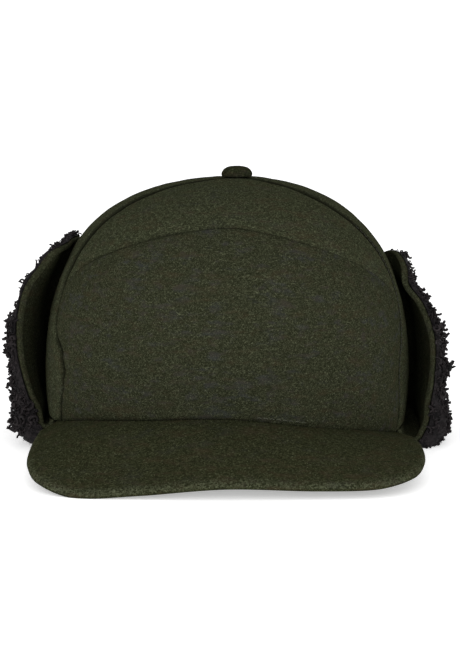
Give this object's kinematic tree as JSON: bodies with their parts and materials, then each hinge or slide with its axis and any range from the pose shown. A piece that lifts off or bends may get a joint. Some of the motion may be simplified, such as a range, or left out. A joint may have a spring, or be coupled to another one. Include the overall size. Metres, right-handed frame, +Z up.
{
  "type": "earflap cap",
  "caption": "Felted wool cap with a stiff rounded peak, a cloth-covered top button, and ear flaps turned up to show their dark curly fleece lining.",
  "frame": {"origin": "Middle of the box round the cap, on the floor that it stands on.", "axes": "+Z up; -Y is the front, where the peak points; +X is the right as seen from the front."},
  "size_m": [0.2222, 0.2598, 0.135],
  "materials": {
    "crown_wool": "felted melton wool, matt, olive green with a fine mottle",
    "button_wool": "felted melton wool stretched over a button, matt",
    "peak_wool": "felted melton wool over a stiff peak, matt, lighter along its worn edge",
    "flap_wool": "felted melton wool, matt",
    "fleece": "curly pile fleece, near black"
  },
  "bodies": {
    "root": {"crown_front_lower": "crown_wool", "crown_front_upper": "crown_wool", "crown_side_left": "crown_wool", "crown_side_right": "crown_wool", "crown_back_left": "crown_wool", "crown_back_right": "crown_wool", "top_button": "button_wool", "peak": "peak_wool", "ear_flap_left": "flap_wool", "ear_flap_right": "flap_wool", "ear_flap_fleece_left": "fleece", "ear_flap_fleece_right": "fleece"}
  },
  "joints": []
}
